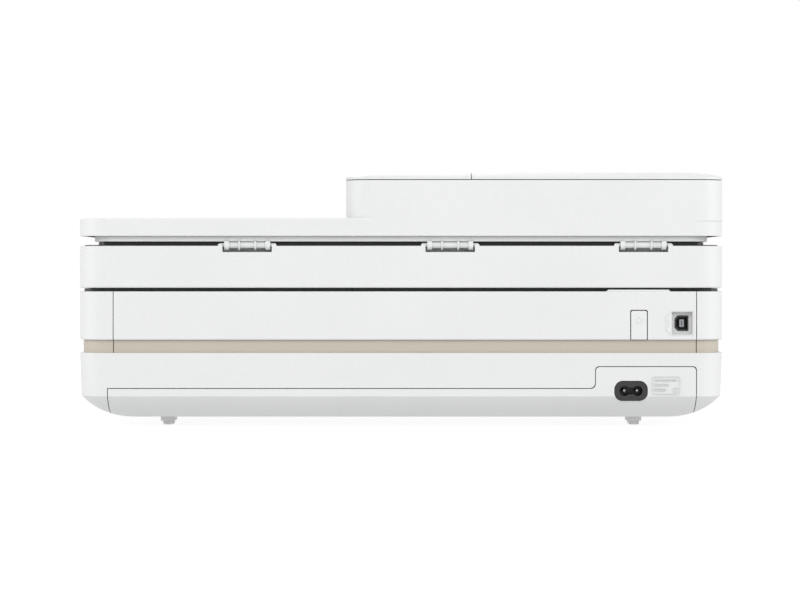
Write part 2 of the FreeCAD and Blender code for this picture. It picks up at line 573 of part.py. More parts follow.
def make_carriage():
    x0, x1 = CARRIAGE_X - CARRIAGE_W / 2, CARRIAGE_X + CARRIAGE_W / 2
    y0, y1 = CARRIAGE_Y
    wall = 1.8
    floor_z = PAPER_Z + 3.0
    lower = block(x0 + 6, x1 - 6, y0, y0 + 35.0, floor_z, floor_z + 10.0)
    upper = block(x0, x1, y0, y1, floor_z + 9.0, CARRIAGE_TOP - 4.0)
    bearing = block(x0 + 4, x1 - 4, y1 - 1, RAIL_Y + 6.0, RAIL_Z - 6.0, RAIL_Z + 8.0)
    body = join([lower, upper, bearing])
    bays = [block(x - CART_W / 2 - 0.5, x + CART_W / 2 + 0.5, y0 + wall, y0 + wall + CART_L + 1.0,
                  floor_z + 10.0, CARRIAGE_TOP + 5) for x in cartridge_x()]
    bays += [block(x - 12.0, x + 12.0, y0 + 6, y0 + 30.0, floor_z - 1,
                   floor_z + 11.0) for x in cartridge_x()]
    rear = block(x0 + wall, x1 - wall, y0 + 2 * wall + CART_L + 1.0, y1 - wall, floor_z + 12.0,
                 CARRIAGE_TOP)
    bore = rod_x(RAIL_R + FIT, x0 - 5, x1 + 5, RAIL_Y, RAIL_Z)
    ear_z = CARRIAGE_TOP - 6.0
    latch_y = y0 + wall + CART_L + 5.6
    ears = []
    for x in cartridge_x():
        for side in (-1, 1):
            middle = x + side * (CART_W / 2 - 1.5)
            ears.append(block(middle - 1, middle + 1, y0 + wall + CART_L + 1.0, y0 + wall + CART_L + 8.0,
                              ear_z - 4.0, ear_z + 4.0))
    pins = rod_x(1.0 + FIT, x0 - 5, x1 + 5, latch_y, ear_z)
    save("carriage", cut(join([cut(body, bays + [rear])] + ears), [bore, pins]))
    tanks = []
    for x in cartridge_x():
        z = floor_z + 10.2
        tank = prism(x - CART_W / 2, x + CART_W / 2, y0 + wall + 0.5, y0 + wall + 0.5 + CART_L, 2.0,
                     z, z + CART_H - 10.0, high=1.0)
        nozzle = block(x - 10.0, x + 10.0, y0 + 8, y0 + 28.0, floor_z - 0.6, z)
        tanks.append(tank.fuse(nozzle))
    save("ink_cartridges", tanks)
    for name, x in zip(("latch_colour", "latch_black"), cartridge_x()):
        y, half = latch_y, CART_W / 2 - 3.0
        pin = rod_x(1.0, x - CART_W / 2 + 0.3, x + CART_W / 2 - 0.3, y, ear_z)
        hub = rod_x(2.2, x - half, x + half, y, ear_z)
        flap = block(x - half, x + half, y - LATCH_L, y, CARRIAGE_TOP - 2.6, CARRIAGE_TOP - 1.0)
        web = block(x - half, x + half, y - 2.2, y, ear_z, CARRIAGE_TOP - 1.0)
        save(name, join([pin, hub, flap, web]))


def make_carriage_drive(feed_motor):
    """Toothed belt in an upright loop behind the carriage, on a driven and a free pulley."""
    for name, x in (("motor_pulley", PULLEY_X), ("idler_pulley", -PULLEY_X)):
        y0 = BELT_Y - BELT_W / 2
        wheel = join([rod_y(PULLEY_R - BELT_T - 0.3, y0 - 0.3, y0 + BELT_W + 0.3, x, RAIL_Z),
                      rod_y(PULLEY_R + 0.8, y0 - 1.3, y0 - 0.3, x, RAIL_Z),
                      rod_y(PULLEY_R + 0.8, y0 + BELT_W + 0.3, y0 + BELT_W + 1.3, x, RAIL_Z)])
        back = CHASSIS_REAR_Y + 3.0 if x > 0 else CHASSIS_REAR_Y - 0.5
        shaft = rod_y(1.5, y0, back, x, RAIL_Z)
        save(name, wheel.fuse(shaft))
    y0, y1 = BELT_Y - BELT_W / 2, BELT_Y + BELT_W / 2

    def loop(r):
        ends = [rod_y(r, y0, y1, x, RAIL_Z) for x in (-PULLEY_X, PULLEY_X)]
        return join(ends + [block(-PULLEY_X, PULLEY_X, y0, y1, RAIL_Z - r, RAIL_Z + r)])
    save("carriage_belt", cut(loop(PULLEY_R), loop(PULLEY_R - BELT_T)))
    motor = rod_y(10.0, CHASSIS_REAR_Y + PLATE_T + 0.5, HY - BAND_INSET - WALL - 0.6, PULLEY_X - 2.0,
                  RAIL_Z)
    boss = rod_y(1.5 + FIT, CHASSIS_REAR_Y, CHASSIS_REAR_Y + PLATE_T + 3.0, PULLEY_X, RAIL_Z)
    flange = block(PULLEY_X - 10, PULLEY_X + 8, CHASSIS_REAR_Y + PLATE_T, CHASSIS_REAR_Y + PLATE_T + 1.0,
                   RAIL_Z - 9, RAIL_Z + 9)
    save("drive_motors", [cut(join([motor, flange]), boss), feed_motor])


def make_service_station():
    x0, x1 = LOW_OUT + 1.2, HIGH_PLATE_X - 12.0
    y0, y1, base_z = 68.0, 106.0, Z_INSIDE + 6.0
    box = cut(block(x0, x1, y0, y1, base_z, SHELF_Z + 2.5),
              block(x0 + 2, x1 - 2, y0 + 2, y1 - 6, base_z + 4, SHELF_Z + 5))
    legs = [block(x0 + 2, x0 + 20, y, y + 6, Z_INSIDE, base_z) for y in (y0 + 2, y1 - 8)]
    rails = [block(x0, x1, y, y + 2.5, SHELF_Z - 6.0, SHELF_Z - 2.0) for y in (y0 + 4, y1 - 14)]
    save("service_station", join([box] + rails + legs))
    low, high = cartridge_x()
    plate = block(low - 6.4, high + 6.4, y0 + 3.5, y1 - 9.0, SHELF_Z - 1.7, SHELF_Z + 0.5)
    cups = [cut(block(x - 6, x + 6, y0 + 8, y1 - 12, SHELF_Z + 0.4, PAPER_Z + 1.9),
                block(x - 4.5, x + 4.5, y0 + 9.5, y1 - 13.5, SHELF_Z + 1.5, PAPER_Z + 5)) for x in (low,
                                                                                                    high)]
    wiper = block(CARRIAGE_X - 0.4, CARRIAGE_X + 0.4, y0 + 9.5, y1 - 13.5, SHELF_Z + 0.4, PAPER_Z + 1.9)
    save("cap_sled", join([plate, wiper] + cups))


def make_pick_arm():
    dy, dz = PICK_ROLLER_Y - PICK_PIVOT_Y, TRAY_Z + TRAY_WALL + PICK_R + 0.6 - PICK_PIVOT_Z
    length, angle = math.hypot(dy, dz), math.degrees(math.atan2(dz, dy))

    def along(x0, x1, height):
        bar = block(x0, x1, 0, length, -height / 2, height / 2)
        bar.rotate(V(0, 0, 0), X_AXIS, angle)
        bar.translate(V(0, PICK_PIVOT_Y, PICK_PIVOT_Z))
        return bar
    roller_z = PICK_PIVOT_Z + dz
    cheeks = [along(x, x + 2, 4.4) for x in (-17.0, 15.0)]
    hubs = [rod_x(r, x, x + 2, y, z) for x in (-17.0, 15.0)
            for r, y, z in ((2.3, PICK_PIVOT_Y, PICK_PIVOT_Z), (3.2, PICK_ROLLER_Y, roller_z))]
    cross = block(-17.0, 17.0, 0.35 * length, 0.55 * length, -1.2, 1.2)
    cross.rotate(V(0, 0, 0), X_AXIS, angle)
    cross.translate(V(0, PICK_PIVOT_Y, PICK_PIVOT_Z))
    arm = join(cheeks + hubs + [cross, rod_x(1.95, -LOW_OUT - 2, LOW_OUT + 2, PICK_PIVOT_Y,
                                             PICK_PIVOT_Z)])
    save("pick_arm", cut(arm, rod_x(1.5 + FIT, -20, 20, PICK_ROLLER_Y, roller_z)))
    roller = join([rod_x(1.5, -17.0, 17.0, PICK_ROLLER_Y, roller_z)]
                  + [rod_x(PICK_R, x, x + 8, PICK_ROLLER_Y, roller_z) for x in (-13.0, 5.0)])
    save("pick_roller", roller)


# ---- paper tray and output -------------------------------------------------------------------
def rack(x0, x1, y_root, side, z0, z1, phase_x):
    """A straight rack along X whose teeth point to the pinion; phase_x is the middle of a tooth."""
    x0, x1 = sorted((x0, x1))
    step = math.pi * RACK_MODULE
    add, ded = 0.75 * RACK_MODULE, 1.2 * RACK_MODULE
    pitch_r = RACK_MODULE * PINION_TEETH / 2
    base, tip = side * (pitch_r + ded), side * (pitch_r - add)
    back = side * (pitch_r + ded + 2.0)
    bar = block(x0, x1, base, back, z0, z1)
    first = math.ceil((x0 - phase_x) / step + 0.5)
    last = math.floor((x1 - phase_x) / step - 0.5)
    teeth = []
    for i in range(first, last + 1):
        x = phase_x + i * step
        root = base + side * 0.1
        corners = ((-0.34, root), (-0.34, base), (-0.12, tip), (0.12, tip), (0.34, base), (0.34, root))
        points = [V(x + share * step, y, z0) for share, y in corners]
        teeth.append(Part.Face(Part.makePolygon(points + [points[0]])).extrude(V(0, 0, z1 - z0)))
    return join([bar] + teeth)


def make_tray(front):
    half = TRAY_W / 2
    y0 = -HY + 6.0
    body = cut(block(-half, half, y0, TRAY_REAR_Y, TRAY_Z, TRAY_Z + TRAY_H),
               block(-half + TRAY_WALL, half - TRAY_WALL, y0 + TRAY_WALL, TRAY_REAR_Y + 1,
                     TRAY_Z + TRAY_WALL, TRAY_Z + TRAY_H + 1))
    grip = block(-45.0, 45.0, -HY - FAR, -HY + 12.0, Z_INSIDE - 5, TRAY_Z + 10.0)
    hull_in = block(-TRAY_FRONT_W / 2 - 1, TRAY_FRONT_W / 2 + 1, -HY, HY, Z_INSIDE, 90)
    room = join([hull(WALL + 0.3, WALL + 0.3), hull_in.common(hull(WALL + 0.3, WALL))])
    save("paper_tray", body.common(room))
    links = [block(x - 4, x + 4, -HY + 1.5, y0, TRAY_Z + 15.0, TRAY_Z + 21.0) for x in (-100, -40, 40, 100)]
    tray_space = block(-half, half, y0, TRAY_REAR_Y, TRAY_Z, 60)
    save("tray_front", cut(join([front] + links), [grip, tray_space]))
    z0 = TRAY_Z + TRAY_WALL + 0.4
    pitch_r = RACK_MODULE * PINION_TEETH / 2
    wheel = gear(PINION_TEETH, RACK_MODULE, 0, 1.8, 0, 0)
    wheel.rotate(V(0, 0, 0), Y_AXIS, -90)
    wheel.translate(V(0, 0, z0))
    wheel = wheel.fuse(rod_z(3.0, z0 - 0.1, z0 + 2.6, 0, 0))
    save("tray_pinion", wheel)
    step = math.pi * RACK_MODULE
    for name, side in (("tray_guide_left", 1), ("tray_guide_right", -1)):
        edge = -side * GUIDE_X
        inner = side * 16.0
        bar = rack(edge, inner, 0, side, z0, z0 + 1.8, step / 2)
        foot_y = (pitch_r + 1.2 * RACK_MODULE, pitch_r + 1.2 * RACK_MODULE + 9.0)
        foot = block(edge, edge - side * GUIDE_T,
                     side * foot_y[0], side * foot_y[1], z0, z0 + 4.0)
        plate = block(edge, edge - side * GUIDE_T,
                      -GUIDE_L / 2, GUIDE_L / 2, z0 + 3.0, z0 + GUIDE_H)
        save(name, join([bar, foot, plate]))
    stop = join([block(-30, 30, LENGTH_GUIDE_Y - GUIDE_T, LENGTH_GUIDE_Y, z0, z0 + 17.0),
                 block(-14, 14, LENGTH_GUIDE_Y - 14.0, LENGTH_GUIDE_Y, z0, z0 + 2.0)])
    save("tray_length_guide", stop)


def make_output():
    half = LOW_PLATE_X - 4.0
    plate = block(-half, half, -HY + WALL + 0.6, OUT_PLATE_REAR_Y, OUT_PLATE_Z, OUT_Z)
    feet = [block(s * half, s * LOW_PLATE_X, CHASSIS_FRONT_Y, OUT_PLATE_REAR_Y,
                  OUT_PLATE_Z, OUT_Z) for s in (-1, 1)]
    rails = [block(s * (half - 3), s * half, -HY + 12, CHASSIS_FRONT_Y - 1,
                   OUT_Z - 0.1, OUT_Z + 5.0) for s in (-1, 1)]
    save("output_tray", join([plate] + feet + rails))
    z0 = OUT_Z + 0.4
    y0 = -HY + 0.5
    slide = prism(-EXTENDER_W / 2, EXTENDER_W / 2, y0, y0 + EXTENDER_L, 6.0, z0, z0 + EXTENDER_T)
    pivot_y, pivot_z = y0 + 6.0, z0 + EXTENDER_T + 1.8
    ears = [block(x, x + 2, pivot_y - 1.8, pivot_y + 1.8, z0, pivot_z + 1.5) for x in (-STOP_W / 2 - 2.4,
                                                                                       STOP_W / 2 + 0.4)]
    save("output_extender", cut(join([slide] + ears), rod_x(0.8 + FIT, -40, 40, pivot_y, pivot_z)))
    flap = join([rod_x(0.8, -STOP_W / 2 - 2.4, STOP_W / 2 + 2.4, pivot_y, pivot_z),
                 rod_x(1.3, -STOP_W / 2, STOP_W / 2, pivot_y, pivot_z),
                 block(-STOP_W / 2, STOP_W / 2, pivot_y, pivot_y + STOP_L, pivot_z - 0.6, pivot_z + 1.0)])
    save("paper_stop", flap)


def make_deck():
    inset = WALL + 0.2
    plate = layer(inset, DECK_Z, DECK_Z + DECK_T)
    hole = block(-DECK_HOLE_X, DECK_HOLE_X, DECK_HOLE_Y[0], DECK_HOLE_Y[1], 0, 200)
    low, high = DECK_Z + DECK_T - 0.1, Z_SCAN - RIM_CLEAR
    ring = cut(layer(RIM_INSET, low, high), layer(RIM_INSET + RIM_T, low - 1, high + 1))
    rear = SCAN_PIVOT_Y - RIM_T
    rim = [ring.common(block(-HX, HX, -HY, rear, 0, 200)), block(-207.0, 207.0, rear - RIM_T, rear, low,
                                                                 high)]
    brackets = []
    for x in (-SCAN_HINGE_X, SCAN_HINGE_X):
        y, z, half = SCAN_PIVOT_Y, SCAN_PIVOT_Z, 2.0
        brackets.append(join([block(x - half, x + half, y - 17, y - 12, DECK_Z + DECK_T - 0.1, z + 1.8),
                              block(x - half, x + half, y - 17, y, z - 1.8, z + 1.8),
                              rod_x(2.8, x - half, x + half, y, z), rod_x(1.5, x - half - 6, x + half + 6,
                                                                          y, z)]))
    save("access_deck", join([cut(plate, hole)] + rim + brackets))


# ---- scanner ---------------------------------------------------------------------------------
def make_scanner():
    t = SCAN_FLOOR_T
    solid = layer(0, Z_SCAN, Z_SCAN_TOP, low=EDGE_R)
    shell = cut(solid, layer(WALL, Z_SCAN + t, Z_SCAN_TOP + 1))
    add, sub = [], []
    for x in LID_HINGE_X:
        add.append(block(x - LID_NOTCH_W / 2 - 3, x + LID_NOTCH_W / 2 + 3, LID_NOTCH_Y - 2.4, HY - 1,
                         LID_NOTCH_Z - 3, Z_SCAN_TOP - BEZEL_T))
        sub.append(block(x - LID_NOTCH_W / 2, x + LID_NOTCH_W / 2, LID_NOTCH_Y, HY + 1, LID_NOTCH_Z, 200))
        for side in (-1, 1):
            ear_x = x + side * (LID_NOTCH_W / 2 + 1.5)
            add.append(block(ear_x - 1.5, ear_x + 1.5, HY - WALL - 2.0, HY, Z_SCAN_TOP - 3,
                             LID_PIVOT_Z + 0.6))
    for x in (-SCAN_HINGE_X, SCAN_HINGE_X):
        y, z = SCAN_PIVOT_Y, SCAN_PIVOT_Z
        sub.append(block(x - 2.5, x + 2.5, y - 20, HY - WALL, Z_SCAN - 1, Z_SCAN + t + 8))
        sub.append(rod_x(1.5 + FIT, x - 9, x + 9, y, z))
        for side in (-1, 1):
            knuckle = x + side * 6.0
            add.append(block(knuckle - 3.0, knuckle + 3.0, y - 4, HY - 1, Z_SCAN + t - 0.1, z + 3.5))
    control_half = CONTROL_W / 2
    opening = block(-control_half - 0.5, control_half + 0.5, -HY - 1, -HY + 8.0, Z_SCAN + 2.0,
                    CONTROL_PIVOT_Z + CONTROL_R + 0.5)
    pocket = block(-control_half - 3, control_half + 3, -HY + 1, -HY + 10.0, Z_SCAN + t - 0.1,
                   Z_SCAN_TOP + BEZEL_PROUD - BEZEL_T)
    add.append(pocket)
    sub.append(opening)
    sub.append(rod_x(1.2 + FIT, -control_half - 2.5, control_half + 2.5, -HY + CONTROL_R + 0.2,
                     CONTROL_PIVOT_Z))
    for x in (-HX + 8.0, HX - 8.0):
        add.append(block(x - 4, x + 4, -5, 5, Z_SCAN + t - 0.1, HEAD_ROD_Z + 5))
        sub.append(rod_x(HEAD_ROD_R, -HX + 5.0, HX - 5.0, 0, HEAD_ROD_Z))
    pins = [rod_x(PIN_R, x - LID_NOTCH_W / 2 - 2.4, x + LID_NOTCH_W / 2 + 2.4, LID_PIVOT_Y, LID_PIVOT_Z)
            for x in LID_HINGE_X]
    save("scanner_housing", join([cut(join([shell] + add), sub)] + pins))
    save("scan_rod", rod_x(HEAD_ROD_R, -HX + 5.0, HX - 5.0, 0, HEAD_ROD_Z))
    top = Z_SCAN_TOP + BEZEL_PROUD
    inset = BEZEL_INSET
    plate = layer(inset, top - BEZEL_T, top, high=0.4)
    windows = [block(*GLASS_X, *GLASS_Y, 0, 200), block(*STRIP_X, *GLASS_Y, 0, 200)]
    notches = [block(x - LID_NOTCH_W / 2 - 3.5, x + LID_NOTCH_W / 2 + 3.5, LID_NOTCH_Y - 0.4, HY + 1, 0,
                     200)
               for x in LID_HINGE_X]
    rim = cut(layer(BEZEL_RIM_INSET, top - 0.1, Z_LINER - RIM_CLEAR),
              layer(BEZEL_RIM_INSET + RIM_T, top - 1, Z_LINER + 1))
    save("scanner_bezel", join([cut(plate, windows + notches), rim]))
    z1 = top - BEZEL_T
    lip = GLASS_LIP
    save("scanner_glass", [block(x0, x1, GLASS_Y[0] - lip, GLASS_Y[1] + lip, z1 - GLASS_T, z1) for x0,
                           x1 in
                           ((GLASS_X[0] - lip, GLASS_X[1] + lip), (STRIP_X[0] - 2, STRIP_X[1] + 2))])
    z_head = HEAD_ROD_Z + 1.0
    head = cut(block(HEAD_X - HEAD_W / 2, HEAD_X + HEAD_W / 2, -HEAD_L / 2, HEAD_L / 2, z_head,
                     z_head + HEAD_H),
               block(HEAD_X - 4, HEAD_X + 4, -HEAD_L / 2 + 6, HEAD_L / 2 - 6, z_head + 6,
                     z_head + HEAD_H + 1))
    hub = block(HEAD_X - HEAD_W / 2, HEAD_X + HEAD_W / 2, -5.5, 5.5, HEAD_ROD_Z - 4.4, z_head + 4)
    save("scan_head", cut(join([head, hub]), rod_x(HEAD_ROD_R + FIT, -HX, HX, 0, HEAD_ROD_Z)))
    y = -HY + CONTROL_R + 0.2
    panel = join([rod_x(CONTROL_R, -control_half, control_half, y, CONTROL_PIVOT_Z),
                  block(-control_half, control_half, y - CONTROL_R, y + CONTROL_R - 0.3, Z_SCAN + 2.6,
                        CONTROL_PIVOT_Z),
                  rod_x(1.2, -control_half - 2.5, control_half + 2.5, y, CONTROL_PIVOT_Z)])
    screen = block(-DISPLAY_W / 2, DISPLAY_W / 2, y - CONTROL_R - 1, y - CONTROL_R + DISPLAY_T,
                   Z_SCAN + 5.0, Z_SCAN + 5.0 + DISPLAY_H)
    save("control_panel", cut(panel, screen))
    save("display_glass", block(-DISPLAY_W / 2, DISPLAY_W / 2, y - CONTROL_R, y - CONTROL_R + DISPLAY_T,
                                Z_SCAN + 5.0, Z_SCAN + 5.0 + DISPLAY_H))


# ---- lid and document feeder -----------------------------------------------------------------
def feeder_block(inset, z0, z1, high=0.0):
    return prism(-HX + inset, FEEDER_X - inset, FEEDER_FRONT_Y + inset, HY - inset, FEEDER_R - inset, z0,
                 z1, 0, high)


def document_slot(grow, z0, z1):
    return block(DOC_TURN_X - DOC_TURN_R - 1.5 - grow, DOC_TURN_X + DOC_TURN_R + 1.5 + grow, -114.0,
                 114.0, z0, z1)


def cover_ear_boxes(side_gap, depth_gap, top):
    """Where the covers' hinge ears stand, at both ends of the feeder."""
    boxes = []
    depth = COVER_EAR_L + depth_gap
    half = COVER_EAR_W / 2 + side_gap
    for x0, x1 in ((-HX - side_gap, -HX + depth), (FEEDER_X - depth, FEEDER_X + side_gap)):
        for y in (-COVER_EAR_Y, COVER_EAR_Y):
            boxes.append(block(x0, x1, y - half, y + half, Z_FEEDER - 3, top))
    return boxes


def make_lid():
    top_t = 2.4
    slab = layer(0, Z_SLAB, Z_SLAB_TOP, high=EDGE_R)
    body = join([slab, feeder_block(0, Z_SLAB_TOP - 2, Z_FEEDER)])
    hollow = [layer(WALL, Z_SLAB - 1, Z_SLAB_TOP - top_t), feeder_block(WALL, Z_SLAB_TOP, Z_FEEDER + 1),
              document_slot(0, Z_SLAB_TOP - 5, Z_SLAB_TOP + 1),
              block(FEEDER_X - 5, FEEDER_X + 2, -DOC_GUIDE_Y - 4, DOC_GUIDE_Y + 4, Z_SLAB_TOP + 0.4,
                    CHUTE_Z - 0.5)]
    ears = cover_ear_boxes(0, 0, COVER_PIVOT_Z + 1.1)
    bores = [rod_y(COVER_PIN_R + FIT, -COVER_EAR_Y - 9, COVER_EAR_Y + 9, x, COVER_PIVOT_Z)
             for x in (-HX + COVER_PIVOT_IN, FEEDER_X - COVER_PIVOT_IN)]
    save("lid_shell", cut(join([cut(body, hollow)] + ears), bores))
    inset = LINER_INSET
    rear = HY - LINER_REAR_INSET
    outer = prism(-HX + inset, HX - inset, -HY + 8, rear, 14.0, Z_LINER, Z_SLAB)
    inner = prism(-HX + inset + 2, HX - inset - 2, -HY + 10, rear - 2, 12.0, Z_LINER + 2, Z_SLAB + 1)
    cuts = [inner, document_slot(0, 0, 200)]
    save("document_pad", prism(GLASS_X[0] - 2, GLASS_X[1] + 2, GLASS_Y[0] - 2, GLASS_Y[1] + 2, 3.0,
                               Z_SCAN_TOP + BEZEL_PROUD + 0.3, Z_LINER))
    arms = []
    for x in LID_HINGE_X:
        y, z, half = LID_PIVOT_Y, LID_PIVOT_Z, LID_HINGE_W / 2
        places = [(x - half, LUG_W), (x - 6.0, RIB_W), (x + 6.0 - RIB_W, RIB_W), (x + half - LUG_W,
                                                                                  LUG_W)]
        parts = []
        for x0, w in places:
            parts.append(rod_x(LUG_R, x0, x0 + w, y, z))
            parts.append(block(x0, x0 + w, y - LUG_R, y + LUG_R, z, Z_LINER))
        bridge = block(x - half, x + half, y - LUG_R, y - LUG_R + 1.2, z + 1.5, Z_LINER)
        hub = rod_x(2.1, x - half, x + half, y, z)
        arms.append(cut(join(parts + [bridge, hub]), rod_x(PIN_R + FIT, x - 20, x + 20, y, z)))
    save("lid_liner", join([cut(outer, cuts)] + arms))


def crown():
    """The two feeder covers before they are parted: an upright rim and a soft crown."""
    steps = ((0.0, COVER_EDGE), (2.4, 2.7), (7.0, 3.7), (13.0, 4.5), (20.0, COVER_H))
    sections = [outline(-HX + i, FEEDER_X - i, FEEDER_FRONT_Y + i, HY - i, max(FEEDER_R - i * 0.4, 4.0),
                        Z_COVER + h)
                for i, h in steps]
    rim = feeder_block(0, Z_COVER, Z_COVER + COVER_EDGE)
    return join([rim, Part.makeLoft(sections, True, False)])


def make_covers():
    solid = cut(crown(), [feeder_block(6.0, Z_COVER - 1, Z_COVER + 2.2)] + cover_ear_boxes(0.3, 0.9, 200))
    for name, x0, x1, pin_x in (("jam_cover", -HX - 1, COVER_SPLIT_X - SEAM / 2, -HX + COVER_PIVOT_IN),
                                ("document_cover", COVER_SPLIT_X + SEAM / 2, FEEDER_X + 1,
                                 FEEDER_X - COVER_PIVOT_IN)):
        half = solid.common(block(x0, x1, -HY, HY + 1, Z_COVER - 1, 300))
        half = max(half.Solids, key=lambda s: s.Volume)
        pins = [rod_y(COVER_PIN_R, y - COVER_EAR_W / 2 - 1.5, y + COVER_EAR_W / 2 + 1.5, pin_x,
                      COVER_PIVOT_Z)
                for y in (-COVER_EAR_Y, COVER_EAR_Y)]
        save(name, join([half] + pins))


def make_feeder():
    y = DOC_FRAME_Y
    plates = [block(-192.0, -64.0, s * y, s * (y + 2), Z_SLAB_TOP, 166.0) for s in (-1, 1)]
    ramp = block(-140.0, -66.0, -y, y, CHUTE_Z + CHUTE_T - 1.5, CHUTE_Z + CHUTE_T)
    axles = ((DOC_PICK_X, CHUTE_Z + CHUTE_T + 0.4 + DOC_PICK_R), (DOC_EXIT_X, DOC_EXIT_Z))
    bores = [rod_y(2.0 + FIT, -150, 150, x, z) for x, z in axles]
    frame = cut(join(plates + [ramp]), bores)
    x, z = axles[0]
    roller = [rod_y(2.0, -y - 3, y + 3, x, z)] + [rod_y(DOC_PICK_R, a, a + 16, x, z) for a in (-26.0,
                                                                                               10.0)]
    save("feeder_pick_roller", join(roller))
    roller = [rod_y(DOC_TURN_R, a, a + 20, DOC_TURN_X, DOC_TURN_Z) for a in (-100.0, -55.0, -10.0, 35.0,
                                                                             80.0)]
    save("feeder_turn_roller", join(roller + [rod_y(2.0, -112.0, 112.0, DOC_TURN_X, DOC_TURN_Z)]))
    roller = [rod_y(DOC_EXIT_R, a, a + 14, DOC_EXIT_X, DOC_EXIT_Z) for a in (-90.0, -30.0, 16.0, 76.0)]
    save("feeder_exit_roller", join(roller + [rod_y(2.0, -y - 3, y + 3, DOC_EXIT_X, DOC_EXIT_Z)]))
    bearings = []
    for s in (-1, 1):
        a, b = sorted((s * 108.0, s * 113.5))
        hang = block(DOC_TURN_X - 4, DOC_TURN_X + 4, a, b, DOC_TURN_Z - 4, Z_SLAB_TOP + 2)
        a, b = sorted((s * 108.0, s * y))
        arm = block(DOC_TURN_X - 4, DOC_TURN_X + 4, a, b, Z_SLAB_TOP, Z_SLAB_TOP + 2)
        bearings.append(cut(join([hang, arm]), rod_y(2.0 + FIT, -150, 150, DOC_TURN_X, DOC_TURN_Z)))
    chute = join([block(CHUTE_X[0], CHUTE_X[1], -130.0, 130.0, CHUTE_Z, CHUTE_Z + CHUTE_T)]
                 + [block(CHUTE_X[0], CHUTE_X[1], s * 128, s * 130, Z_SLAB_TOP, CHUTE_Z)
                    for s in (-1, 1)])
    save("feeder_frame", [frame, chute] + bearings)
    for name, s in (("document_guide_rear", 1), ("document_guide_front", -1)):
        a, b = sorted((s * DOC_GUIDE_Y, s * (DOC_GUIDE_Y + 2)))
        c, d = sorted((s * (DOC_GUIDE_Y - 12), s * (DOC_GUIDE_Y + 2)))
        save(name, join([block(-40.0, 28.0, a, b, CHUTE_Z + CHUTE_T + 0.3, 165.0),
                         block(-30.0, 18.0, c, d, CHUTE_Z + CHUTE_T + 0.3, CHUTE_Z + CHUTE_T + 1.5)]))


os.makedirs("parts", exist_ok=True)
tray_face = make_lower_casing()
make_feet()
make_screws()
make_band()
make_upper_casing()
make_inlet()
make_usb()
make_power_button()
make_electronics()
make_chassis(make_paper_path())
make_carriage()
make_carriage_drive(make_drive())
make_service_station()
make_pick_arm()
make_tray(tray_face)
make_output()
make_deck()
make_scanner()
make_lid()
make_covers()
make_feeder()
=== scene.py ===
import json
import math

import bmesh
import bpy
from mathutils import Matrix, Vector


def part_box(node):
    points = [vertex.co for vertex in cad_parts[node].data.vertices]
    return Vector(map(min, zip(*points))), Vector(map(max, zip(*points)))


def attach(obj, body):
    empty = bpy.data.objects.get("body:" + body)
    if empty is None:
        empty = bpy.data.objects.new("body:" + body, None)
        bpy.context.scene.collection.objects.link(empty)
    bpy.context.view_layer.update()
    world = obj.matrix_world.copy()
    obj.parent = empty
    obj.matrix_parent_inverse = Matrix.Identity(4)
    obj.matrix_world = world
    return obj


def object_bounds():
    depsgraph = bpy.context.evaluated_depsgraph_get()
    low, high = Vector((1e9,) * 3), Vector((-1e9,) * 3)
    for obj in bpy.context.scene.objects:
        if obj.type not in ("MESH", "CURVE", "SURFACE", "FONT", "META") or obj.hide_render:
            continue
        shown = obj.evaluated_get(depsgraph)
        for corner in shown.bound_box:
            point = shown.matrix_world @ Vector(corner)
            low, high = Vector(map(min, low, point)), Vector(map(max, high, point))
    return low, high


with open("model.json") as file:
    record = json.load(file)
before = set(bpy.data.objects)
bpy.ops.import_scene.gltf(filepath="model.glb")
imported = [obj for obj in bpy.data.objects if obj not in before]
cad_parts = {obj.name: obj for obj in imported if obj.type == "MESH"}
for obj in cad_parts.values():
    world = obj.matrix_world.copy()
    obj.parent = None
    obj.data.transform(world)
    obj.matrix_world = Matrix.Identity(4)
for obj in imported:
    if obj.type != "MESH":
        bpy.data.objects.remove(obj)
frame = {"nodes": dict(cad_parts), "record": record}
cad_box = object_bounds()
NODES = frame["nodes"]
MM = 0.001
TINY = 1e-6


# ---- materials -------------------------------------------------------------------------------
def new_material(name):
    material = bpy.data.materials.new(name)
    material.use_nodes = True
    tree = material.node_tree
    return material, tree, tree.nodes["Principled BSDF"]


def set_base(shader, colour, roughness, metallic=0.0, specular=0.5):
    shader.inputs["Base Color"].default_value = (*colour, 1.0)
    shader.inputs["Roughness"].default_value = roughness
    shader.inputs["Metallic"].default_value = metallic
    shader.inputs["Specular IOR Level"].default_value = specular


def place_coords(tree):
    """Coordinates fixed to the piece, in metres."""
    return tree.nodes.new("ShaderNodeTexCoord").outputs["Object"]


def noise(tree, scale, detail=2.0, stretch=None):
    node = tree.nodes.new("ShaderNodeTexNoise")
    node.inputs["Scale"].default_value = scale
    node.inputs["Detail"].default_value = detail
    source = place_coords(tree)
    if stretch:
        mapping = tree.nodes.new("ShaderNodeMapping")
        mapping.inputs["Scale"].default_value = stretch
        tree.links.new(source, mapping.inputs["Vector"])
        source = mapping.outputs["Vector"]
    tree.links.new(source, node.inputs["Vector"])
    return node.outputs["Fac"]


def vary_colour(tree, shader, fac, dark, light):
    ramp = tree.nodes.new("ShaderNodeValToRGB")
    ramp.color_ramp.elements[0].position = 0.3
    ramp.color_ramp.elements[1].position = 0.7
    ramp.color_ramp.elements[0].color = (*dark, 1.0)
    ramp.color_ramp.elements[1].color = (*light, 1.0)
    tree.links.new(fac, ramp.inputs["Fac"])
    tree.links.new(ramp.outputs["Color"], shader.inputs["Base Color"])


def vary_roughness(tree, shader, fac, low, high):
    spread = tree.nodes.new("ShaderNodeMapRange")
    spread.inputs["To Min"].default_value = low
    spread.inputs["To Max"].default_value = high
    tree.links.new(fac, spread.inputs["Value"])
    tree.links.new(spread.outputs["Result"], shader.inputs["Roughness"])


